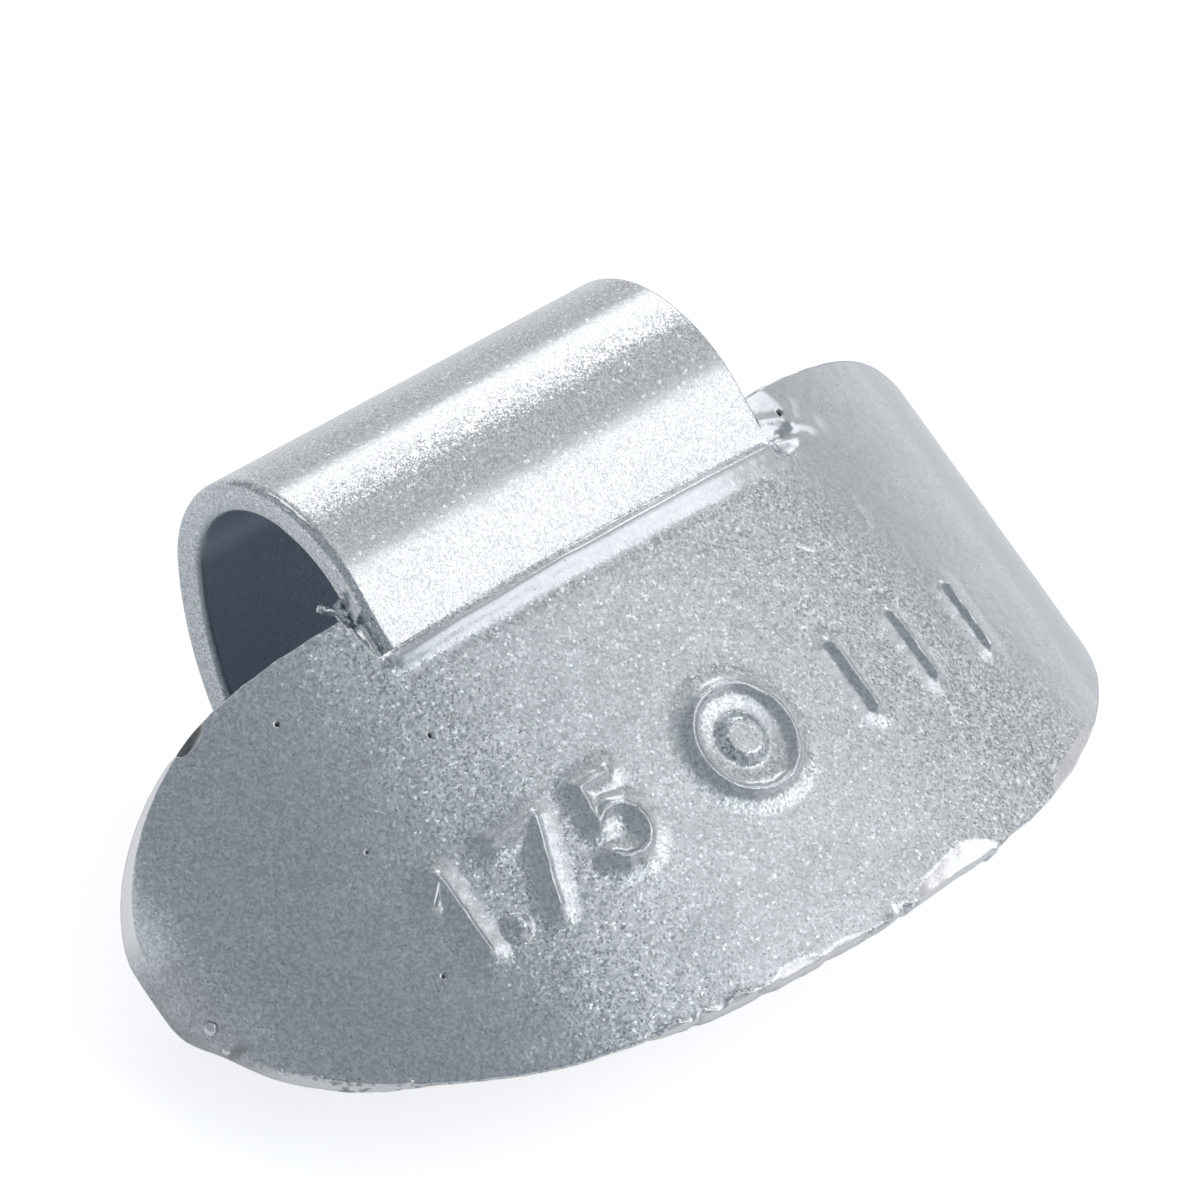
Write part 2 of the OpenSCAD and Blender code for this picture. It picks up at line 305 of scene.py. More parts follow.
def stripTop(y):
    # height of the clip's outer side where it leaves the lead
    lean = math.radians(-clipSize["lean"])
    up = clipSize["thickness"] / 2 + rideUp((y - clipSize["start"][0]) / math.cos(lean))
    return clipSize["start"][1] + (y - clipSize["start"][0]) * math.tan(lean) + up / math.cos(lean)


def shoulderDip(x, y):
    # the lead has sunk to the clip on its right
    gap = np.maximum(frontHeight(x) - stripTop(y), 0)
    seam = lip["seam"] * smooth(8.6, 9.0, x) * smooth(10.5, 9.3, x) * smooth(-0.5, 0.1, y)
    return -gap * smooth(8.5, 9.05, x) * smooth(12.0, 9.5, x) * smooth(-0.9, 0.0, y) - seam


def relief(x, y):
    z = markRelief(x, y) + lipRelief(x, y) + shoulderDip(x, y)
    z += 0.012 * ripple(x, y, 2.3, 1) + 0.006 * ripple(x, y, 0.9, 2) + 0.0025 * ripple(x, y, 0.35, 3)
    return z


def rimShift(x, side):
    # how far the outline is bitten back, in mm, on the belly (0) or the shoulders (1)
    shift = 0.03 * ripple(x, x * 0, 0.7, 31 + side) + 0.015 * ripple(x, x * 0, 0.25, 33 + side)
    if side == 0:
        shift += bodySize["crispTrim"] * smooth(15, 7, np.abs(x)) + 0.03
        for nx, wide, deep in flaws["bites"]:
            shift += deep * np.exp(-((x - nx) / wide) ** 2)
        shift -= 0.22 * np.exp(-((np.abs(x) - 18.6) / 1.6) ** 2)    # fuller at both lower ends
    else:
        shift += 0.02 + 0.05 * np.exp(-((x + 16.75) / 0.4) ** 2)
    return shift * smooth(half, half - 0.8, np.abs(x))


# how strong the paint's wear is at each kind of place, 0 to 1
wearShare = {"thinRim": 0.55, "thinEdge": 0.35, "grimeAndShade": 0.6, "nickShade": 0.8, "smudge": 0.6, "lowEnd": 0.3,
             "leftStill": 0.65, "facetStill": 0.9, "markStill": 0.7, "facetFresh": 0.45, "seamPaintedLight": 0.12}


def paintMasks(points):
    # thin paint over bare lead, grime and painted shade in hollows, still paint, fresh paint and painted
    # light: each 0 to 1
    x, y, z = points[:, 0], points[:, 1], points[:, 2]
    share, below = wearShare, z - frontHeight(x)
    front = (below > -0.7) & (np.abs(x) < 20.2)
    inward = y - bellyLevel(x)
    grain = ripple(x + 0.4 * z, y + z, 0.13, 41)

    thinPaintAndShade = np.where(inward < 0.1, share["thinRim"], 0.0) * smooth(-0.1, 0.5, grain) * (x > -12)
    thinPaintAndShade += np.where((inward < 0.05) & (x > -12) & (x < 12), share["thinEdge"], 0)

    spots = smooth(0.45, 0.75, grain + 0.35 * ripple(x, y, 1.1, 42))
    grimeAndShade = share["grimeAndShade"] * spots * smooth(0.12, 0.02, inward) * (np.abs(x) < 19) * front
    # painted shade: the insides of the deeper pits are darkened toward near black
    for pit in flaws["pits"]:
        if pit[4] > 0.1:
            inPit = smooth(1.02, 0.85, pitDistance(x, y, pit)) * smooth(-1.1, -0.75, below)
            grimeAndShade = np.maximum(grimeAndShade, inPit)
    # painted shade: the nicks in the rim are darkened
    for nx, wide, reachIn, deep in flaws["nicks"]:
        inNick = np.exp(-((x - nx) / (0.8 * wide)) ** 2) * smooth(reachIn, 0.0, inward) * (inward < reachIn)
        grimeAndShade = np.maximum(grimeAndShade, share["nickShade"] * inNick)
    smudge = np.exp(-((x + 19.9) / 0.35) ** 2 - ((y + 8.5) / 0.7) ** 2) * (0.8 + 0.4 * ripple(x, y, 0.4, 43))
    grimeAndShade = np.maximum(grimeAndShade, share["smudge"] * smudge)
    # painted shade: the lower part of the left end is darkened
    grimeAndShade = np.maximum(grimeAndShade, share["lowEnd"] * smooth(-19.2, -19.9, x) * smooth(-3.8, -5.0, y))

    # right end and, less so, left end, then facets, bead and marks
    still = np.maximum(smooth(7.5, 12.0, x + 0.35 * (y + 4)), share["leftStill"] * smooth(-8, -15, x))
    # painted highlight: the upper left end's wall below the face is brightened nearly to white
    freshAndPaintedLight = (below < -0.05) * smooth(-16.2, -18.2, x) * smooth(-4.4, -2.6, y)
    for x0, x1, width, slope in flaws["facets"]:
        cut = smooth(0.03, -0.06, inward - facetWidth(x, y, x0, x1, width)) * (width > 0.4)
        still = np.maximum(still, share["facetStill"] * cut)
        freshAndPaintedLight = np.maximum(freshAndPaintedLight, share["facetFresh"] * cut * smooth(-0.5, -0.35, below))
    foot = -(0.5 * (lip["reachLeft"] + lip["reachRight"]) + 0.016 * x)
    still = np.maximum(still, smooth(foot - 0.1, foot + 0.15, y) * smooth(-0.1, -0.35, y)
                       * smooth(-10.1, -9.3, x) * smooth(9.6, 8.6, x) * front)
    still = np.maximum(still, share["markStill"] * smooth(0.9, 0.3, nearestMark(x, y)) * front)
    # painted light: the seam just right of the clip is lightened
    seam = smooth(9.15, 9.3, x) * smooth(10.4, 9.8, x) * smooth(-0.1, 0.2, y)
    freshAndPaintedLight = np.maximum(freshAndPaintedLight, share["seamPaintedLight"] * seam)
    return np.clip(np.column_stack([thinPaintAndShade, grimeAndShade, still, freshAndPaintedLight]), 0, 1)


def stations():
    # columns spread evenly along the steeper of the two edges
    fine = half * np.sin(np.linspace(-math.pi / 2, math.pi / 2, 40001))
    low, high = bellyLevel(fine), shoulderLevel(fine)
    wall = np.abs(np.diff(np.minimum(high, notchLevel(fine)))) * (np.abs(fine[1:]) < 12)
    rise = np.maximum(np.maximum(np.abs(np.diff(low)), np.abs(np.diff(high))), wall * 0.5)
    run = np.concatenate([[0], np.cumsum(np.hypot(np.diff(fine), rise))])
    count = int(run[-1] / bodySize["grid"])
    return np.interp(np.linspace(0, run[-1], count + 1), run, fine)


def softer(a, b, radius=0.09):
    # the lower of two levels, with a small round where they cross
    return -radius * np.logaddexp(-a / radius, -b / radius)


# the lead that closes the groove on the clip's left: where it lies, and how far below the clip's outer side
fill = {"x": (-10.7, -9.3), "y": (-0.5, 1.72), "floor": 6.2, "below": 0.66, "rise": 1.1,
        "across": 27, "along": 45}


def grooveFill():
    # a hollow between the shoulder and the clip, rounded off at its upper end
    across, along = fill["across"], fill["along"]
    gx, gy = np.meshgrid(np.linspace(*fill["x"], across), np.linspace(*fill["y"], along), indexing="ij")
    low = stripTop(gy) - fill["below"]
    z = low + fill["rise"] * np.clip((-9.72 - gx) / 0.75, 0, 1) ** 1.5 + 0.12 * smooth(-9.55, -9.35, gx)
    z += 0.02 * ripple(gx, gy, 0.3, 44)
    z = np.minimum(z, frontHeight(gx) - 0.05) - 0.9 * smooth(1.2, 1.72, gy) ** 2
    top = np.column_stack([gx.ravel(), gy.ravel(), z.ravel()])
    under = top.copy()
    under[:, 2] = fill["floor"]
    at = lambda i, j, side: side * across * along + i * along + j
    faces = []
    for i in range(across - 1):
        for j in range(along - 1):
            faces.append((at(i, j, 0), at(i + 1, j, 0), at(i + 1, j + 1, 0), at(i, j + 1, 0)))
            faces.append((at(i, j, 1), at(i, j + 1, 1), at(i + 1, j + 1, 1), at(i + 1, j, 1)))
    brim = [(i, 0) for i in range(across)] + [(across - 1, j) for j in range(1, along)]
    brim += [(i, along - 1) for i in range(across - 2, -1, -1)] + [(0, j) for j in range(along - 2, 0, -1)]
    for (i, j), (k, m) in zip(brim, brim[1:] + brim[:1]):
        faces.append((at(i, j, 1), at(k, m, 1), at(k, m, 0), at(i, j, 0)))
    masks = np.zeros((across * along, 4))
    # painted shade darkens the crease at the fill's outer side; painted light brightens its side toward the
    # clip
    masks[:, 1] = 0.15 * np.exp(-((gx.ravel() + 9.85) / 0.2) ** 2)
    masks[:, 3] = 0.4 * smooth(-9.9, -9.6, gx.ravel())
    return np.concatenate([top, under]), faces, np.concatenate([masks, masks])


def drop(x, y, z, radius, seed):
    # one lump of lead on the rim: a small uneven ball
    rows, cols = 9, 14
    a, b = np.meshgrid(np.linspace(0.15, math.pi - 0.15, rows), np.arange(cols) * 2 * math.pi / cols,
                       indexing="ij")
    r = radius * (1 + 0.12 * ripple(2 * a, 2 * np.cos(b), 1.0, seed))
    points = np.column_stack([(x + r * np.sin(a) * np.cos(b)).ravel(),
                              (y + r * np.sin(a) * np.sin(b)).ravel(), (z + r * np.cos(a)).ravel()])
    faces = []
    for i in range(rows - 1):
        for j in range(cols):
            k = (j + 1) % cols
            faces.append((i * cols + j, (i + 1) * cols + j, (i + 1) * cols + k, i * cols + k))
    faces += [tuple(range(cols)), tuple((rows - 1) * cols + j for j in range(cols))[::-1]]
    masks = np.zeros((len(points), 4))
    masks[:, 2], masks[:, 3] = 0.6, 0.4
    return points, faces, masks


def buildBody(material):
    s = bodySize
    x = stations()
    last = len(x) - 1
    full = shoulderLevel(x) - rimShift(x, 1)
    low, high = bellyLevel(x) + rimShift(x, 0), softer(full, notchLevel(x))
    # outline ring, once round: along the belly and back over the shoulders
    ringX = np.concatenate([x, x[-2:0:-1]])
    ringY = np.concatenate([low, high[-2:0:-1]])
    ringFull = np.concatenate([low, full[-2:0:-1]])
    ringClean = np.concatenate([bellyLevel(x) + 0.03, shoulderLevel(x)[-2:0:-1] - 0.03])
    count = len(ringX)

    def inwardOf(ys, spread):
        dx = np.roll(ringX, -spread) - np.roll(ringX, spread)
        dy = np.roll(ys, -spread) - np.roll(ys, spread)
        n = np.hypot(dx, dy)
        return -dy / n, dx / n

    nx, ny = inwardOf(ringY, 2)
    fx, fy = inwardOf(ringClean, 2)
    notchL, notchR = s["notchLeft"], s["notchRight"]
    inNotch = (smooth(notchL - 0.2, notchL + 0.6, ringX) * smooth(notchR + 0.2, notchR - 0.6, ringX)
               * (ringY > -1))
    leftWall = (smooth(0.05, 0.5, ringY) * smooth(notchL - 0.5, notchL - 0.25, ringX)
                * smooth(notchL + 0.5, notchL + 0.3, ringX))
    rounding = s["crispRound"] * (1 - inNotch) + s["notchRound"] * inNotch
    foot = np.maximum(frontHeight(ringX) - s["edgeRound"] - s["band"], s["leastSide"])
    lowEnd = smooth(-6.0, -8.5, ringY) * smooth(7, 13, np.abs(ringX))
    slope = np.tan(np.radians(s["draft"] + s["lowDraft"] * lowEnd))

    rings = []
    for k in range(8, -1, -1):                                      # rounded front edge
        a = math.radians(90 * k / 8)
        px, py = ringX + rounding * (1 - math.cos(a)) * nx, ringY + rounding * (1 - math.cos(a)) * ny
        sunk = shoulderDip(px, py)
        lift = sunk + (relief(px, py) - sunk) * math.sin(a) + wear(px, py)
        rings.append(np.column_stack([px, py, frontHeight(px) + lift - rounding * (1 - math.sin(a))]))
    edgeRing = rings[0]
    rimZ = rings[-1][:, 2]
    for share in (0.12, 0.25, 0.4, 0.6, 0.8, 1.0):                  # straight band
        z = rimZ * (1 - share) + foot * share
        tuck = (rimZ - z) * s["lowTuck"] * lowEnd
        lean = s["wallLean"] * leftWall * share
        rings.append(np.column_stack([ringX + lean + tuck * fx, ringY + tuck * fy, z]))
    steps = int(s["thickness"] / s["sideStep"])
    limit = np.where(np.arange(count) > last, notchLevel(ringX), 99)
    for k in range(1, steps + 1):                                   # drafted side down to the back
        z = foot * (1 - k / steps)
        inset = (foot - z) * slope + (rimZ - foot) * s["lowTuck"] * lowEnd
        level = ringClean + (ringFull - ringClean) * (1 - smooth(0, 0.45, k / steps))
        rings.append(np.column_stack([ringX + s["wallLean"] * leftWall + inset * fx,
                                      np.minimum(level + inset * fy, limit), z]))
    backRing = rings[-1]
    faces = []
    for r in range(len(rings) - 1):
        a, b = r * count, (r + 1) * count
        for i in range(count):
            j = (i + 1) % count
            faces.append((a + i, b + i, b + j, a + j))
    total = len(rings) * count

    def cap(ring, base, step, flip, cut):
        # grid between the belly side and the shoulder side of a ring. Only its top rows bend down to the cut
        nonlocal total
        rows = int((s["depth"] + s["rise"]) / step)
        grid = np.zeros((last + 1, rows + 1), int)
        lower = ring[:last + 1]
        upper = np.concatenate([ring[:1], ring[:last:-1], ring[last:last + 1]])
        t = np.arange(1, rows)[:, None] / rows
        inner = []
        for i in range(last + 1):
            if i in (0, last):
                grid[i, :] = base + i
                continue
            row = lower[i] + (upper[i] - lower[i]) * np.hstack([t ** 12, t, t])
            row[:, 1:2] += cut[i] * (t - smooth(0.8, 1, t))
            inner.append(row)
            grid[i, 0], grid[i, rows] = base + i, base + count - i
            grid[i, 1:rows] = total + np.arange(rows - 1)
            total += rows - 1
        quads = []
        for i in range(last):
            for j in range(rows):
                q = [grid[i, j], grid[i + 1, j], grid[i + 1, j + 1], grid[i, j + 1]]
                q = [int(v) for k, v in enumerate(q) if v != q[k - 1]]
                if len(q) > 2:
                    quads.append(tuple(q[::-1] if flip else q))
        return np.concatenate(inner), quads

    front, frontFaces = cap(edgeRing, 0, s["grid"], False, full - high)
    faceX, faceY = front[:, 0], front[:, 1]
    front[:, 2] = frontHeight(faceX) + relief(faceX, faceY) + wear(faceX, faceY)
    back, backFaces = cap(backRing, (len(rings) - 1) * count, s["backStep"], True, full * 0)
    points = np.concatenate(rings + [front, back])
    faces += frontFaces + backFaces
    masks = paintMasks(points)
    extras = [grooveFill()] + [drop(*d, 51 + k) for k, d in enumerate(flaws["drops"])]
    for extra, extraFaces, extraMasks in extras:
        faces += [tuple(len(points) + i for i in f) for f in extraFaces]
        points, masks = np.concatenate([points, extra]), np.concatenate([masks, extraMasks])
    return makeObject("weight_casting", points, faces, material, masks)


def stripPath():
    # centreline points and headings of the strip, in local mm
    s = clipSize
    head = math.radians(s["lean"])
    ahead = lambda h: np.array([math.cos(h), -math.sin(h)])
    towardBack = lambda h: np.array([-math.sin(h), -math.cos(h)])
    at = np.array(s["start"]) - s["buried"] * ahead(head)
    line = []
    for radius, amount in [(0, s["buried"])] + s["runs"]:
        if radius == 0:
            n = max(2, round(amount / s["step"]))
            line += [(at + ahead(head) * amount * k / n, head) for k in range(n)]
            at = at + ahead(head) * amount
        else:
            turn = math.radians(amount)
            n = max(3, round(radius * turn / s["step"]))
            centre = at + radius * towardBack(head)
            for k in range(n):
                line.append((centre - radius * towardBack(head + turn * k / n), head + turn * k / n))
            head += turn
            at = centre - radius * towardBack(head)
    line.append((at, head))
    return line


# small things on the clip: a crooked burr at the foot of its left inner edge (x, y, z, radius), and a lifted
# sliver of paint on its left outer edge: from and to along the strip, where it starts round the edge in
# radians, and how far round it goes in degrees
clipFlaws = {
    "burr": [[(-10.16, 2.72, 6.95, 0.03), (-10.13, 2.7, 6.95, 0.14), (-10.0, 2.6, 6.95, 0.17),
              (-9.86, 2.47, 6.98, 0.12), (-9.7, 2.33, 6.97, 0.13), (-9.5, 2.2, 6.98, 0.2),
              (-9.3, 2.05, 7.0, 0.24)],
             [(-9.6, 2.25, 6.98, 0.12), (-9.5, 2.4, 7.08, 0.15), (-9.3, 2.5, 7.15, 0.14)],
             [(-9.6, 2.2, 6.96, 0.12), (-9.52, 1.95, 6.94, 0.15), (-9.35, 1.75, 6.94, 0.15)]],
    "sliver": (6.55, 9.45), "sliverFrom": 0.35, "sliverTurn": 34,
}


def tube(path, sides=10):
    # points and faces of a bent rod that follows (x, y, z, radius) points
    path = np.array(path, float)
    t = np.linspace(0, len(path) - 1, 5 * len(path))
    path = np.column_stack([np.interp(t, np.arange(len(path)), path[:, k]) for k in range(4)])
    ahead = np.gradient(path[:, :3], axis=0)
    ahead /= np.linalg.norm(ahead, axis=1)[:, None]
    side = np.cross(ahead, (0.2, 0.1, 1.0))
    side /= np.linalg.norm(side, axis=1)[:, None]
    up = np.cross(side, ahead)
    angle = np.arange(sides) * 2 * math.pi / sides
    bumpy = 1 + 0.18 * np.sin(3 * angle[None, :] + 9 * t[:, None]) * np.sin(5 * t[:, None])
    ring = path[:, None, :3] + path[:, None, 3:] * bumpy[:, :, None] * (
        side[:, None] * np.cos(angle)[None, :, None] + up[:, None] * np.sin(angle)[None, :, None])
    faces = []
    for k in range(len(path) - 1):
        for i in range(sides):
            j = (i + 1) % sides
            faces.append((k * sides + i, k * sides + j, (k + 1) * sides + j, (k + 1) * sides + i))
    faces += [tuple(range(sides))[::-1], tuple((len(path) - 1) * sides + i for i in range(sides))]
    return ring.reshape(-1, 3), faces


def buildClip(material):
    s = clipSize
    r, q, w, t = s["edgeRound"], s["rightRound"], s["width"] / 2, s["thickness"] / 2
    n = round((s["width"] - 2 * r) / s["across"])
    corner = [math.radians(a) for a in (75, 60, 45, 30, 15)]
    section = [(-w + r + (2 * w - r - q) * k / n, t) for k in range(n + 1)]
    section += [(w - q + q * math.cos(a), t - q + q * math.sin(a)) for a in corner]
    section += [(w, t - q), (w, 0), (w, -t + r)]
    section += [(w - r + r * math.cos(a), -t + r - r * math.sin(a)) for a in corner[::-1]]
    section += [(w - r - (2 * w - 2 * r) * k / n, -t) for k in range(n + 1)]
    section += [(-w + r - r * math.cos(a), -t + r - r * math.sin(a)) for a in corner]
    section += [(-w, -t + r), (-w, 0), (-w, t - r)]
    section += [(-w + r - r * math.cos(a), t - r + r * math.sin(a)) for a in corner[::-1]]
    section = np.array(section)
    m = len(section)

    line = stripPath()
    end, endHead = line[-1]
    tip = np.array([math.cos(endHead), -math.sin(endHead)])
    run = np.concatenate([[0], np.cumsum(np.linalg.norm(np.diff([p for p, h in line], axis=0), axis=1))])
    run -= s["buried"]
    rings = [(p, h, 0.0) for p, h in line[:-1] if np.linalg.norm(p - end) > r + 0.02]
    rings += [(end - tip * r * (1 - math.sin(a)), endHead, r * (1 - math.cos(a)))
              for a in np.radians([0, 18, 36, 54, 72, 90])]         # rounded tip of the far leg
    points, faces, masks = [], [], []
    for k, (p, h, inset) in enumerate(rings):
        u = section[:, 0] * (w - inset) / w
        v = section[:, 1] * (t - inset) / t
        lifted = v + rideUp(run[k] if k < len(run) else run[-1])
        points.append(np.column_stack([u, p[0] + math.sin(h) * lifted, p[1] + math.cos(h) * lifted]))
        thinPaintAndShade = smooth(0.1, -t, v) * smooth(w + 0.1, w - 0.5, np.abs(u))      # painted shade: a darker, bluer colour over the inner side of the hook
        masks.append(np.column_stack([thinPaintAndShade, v * 0, v * 0, v * 0]))
    for k in range(len(rings) - 1):
        a, b = k * m, (k + 1) * m
        faces += [(a + i, b + i, b + (i + 1) % m, a + (i + 1) % m) for i in range(m)]
    faces.append(tuple(range(m)))
    faces.append(tuple((len(rings) - 1) * m + i for i in range(m))[::-1])
    total = len(rings) * m

    sliver, (first, final) = [], clipFlaws["sliver"]
    start = clipFlaws["sliverFrom"]
    for k, (p, h) in enumerate(line):
        if first < run[k] < final:
            share = (run[k] - first) / (final - first)
            uneven = math.sqrt(max(4 * share * (1 - share), 0.02)) * (1 + 0.3 * math.sin(9 * run[k]))
            turned = start + math.radians(clipFlaws["sliverTurn"] * uneven)
            for angle, out in ((start, 0.335), (turned, r + 0.03), (turned, r + 0.05), (start, r + 0.015)):
                u, v = -w + r - out * math.sin(angle), t - r + out * math.cos(angle) + rideUp(run[k])
                sliver.append((u, p[0] + math.sin(h) * v, p[1] + math.cos(h) * v))
    points.append(np.array(sliver))
    for k in range(len(sliver) // 4 - 1):
        a = total + 4 * k
        faces += [(a + i, a + (i + 1) % 4, a + 4 + (i + 1) % 4, a + 4 + i) for i in range(4)]
    total += len(sliver)
    for rod in clipFlaws["burr"]:
        rodPoints, rodFaces = tube(rod)
        points.append(rodPoints)
        faces += [tuple(total + i for i in f) for f in rodFaces]
        total += len(rodPoints)
    masks.append(np.zeros((total - len(rings) * m, 4)))
    return makeObject("clip_strip", np.concatenate(points), faces, material, np.concatenate(masks))


def nodeTools(tree):
    # short ways to add nodes to a tree: any node, a sum of numbers, a sum of vectors, a change of range
    def make(kind, **settings):
        node = tree.nodes.new("ShaderNode" + kind)
        for name, value in settings.items():
            setattr(node, name, value)
        return node

    def feed(socket, value):
        if hasattr(value, "is_output"):
            tree.links.new(value, socket)
        else:
            socket.default_value = value

    def calc(kind, a, b, clamp=False):
        node = make("Math", operation=kind, use_clamp=clamp)
        feed(node.inputs[0], a)
        feed(node.inputs[1], b)
        return node.outputs[0]

    def vector(kind, a, b=None, scale=None):
        node = make("VectorMath", operation=kind)
        feed(node.inputs[0], a)
        if b is not None:
            feed(node.inputs[1], b)
        if scale is not None:
            feed(node.inputs["Scale"], scale)
        return node.outputs["Value" if kind in ("DOT_PRODUCT", "DISTANCE") else "Vector"]

    def remap(value, lo, hi, toLo, toHi, curve="LINEAR"):
        node = make("MapRange", interpolation_type=curve)
        names = ("Value", "From Min", "From Max", "To Min", "To Max")
        for name, v in zip(names, (value, lo, hi, toLo, toHi)):
            feed(node.inputs[name], v)
        return node.outputs["Result"]

    return make, feed, calc, vector, remap


# sizes in mm. Flakes tilt and differ in brightness (speckle), and a few of them, the glints, tilt more and
# are painted brighter: painted glints.
# The bumps of the coat are peel. Strokes are scratches: two ends, width
bodyPaintLook = {
    "flakeSize": 0.085, "flakeTilt": 0.2, "speckle": 0.95,
    "glintSize": 0.11, "glintShare": 0.12, "glintTilt": 0.25, "glintGain": 0.35,
    "peel": 0.05, "peelSize": 0.3, "cloudSize": 2.6, "fineCloudSize": 0.35,
    "dustSize": 0.1, "dustShare": 0.02,
    "dark": (0.515, 0.545, 0.575), "light": (0.55, 0.58, 0.61), "bareAndShade": (0.4, 0.385, 0.35),
    "dirtAndShade": (0.05, 0.048, 0.045), "freshAndPaintedLight": (0.9, 0.9, 0.92),
    "metallic": 0.9, "roughness": 0.25, "coat": 0.4, "coatRoughness": 0.12, "strokes": [],
}
clipPaintLook = {
    **bodyPaintLook,
    "flakeSize": 0.06, "flakeTilt": 0.1, "speckle": 0.6,
    "glintShare": 0.04, "glintTilt": 0.2, "dustShare": 0.004,
    # the clip's bare colour is the painted shade of the hook's inner side
    "dark": (0.56, 0.585, 0.61), "light": (0.59, 0.615, 0.64), "bareAndShade": (0.4, 0.475, 0.56), "roughness": 0.2,
    "strokes": [((-7.75, 1.42, 8.0), (-7.52, 1.35, 7.97), 0.05),
                ((-8.0, 1.25, 7.92), (-8.08, 1.02, 7.82), 0.035),
                ((-8.12, 0.82, 7.74), (-8.1, 0.76, 7.71), 0.06),
                ((-9.25, 1.3, 7.95), (-9.2, 1.1, 7.86), 0.06),
                ((-6.6, 5.6, 8.05), (-6.5, 5.55, 8.06), 0.05),
                ((6.9, 7.9, 6.5), (7.05, 7.75, 6.7), 0.05)],
}


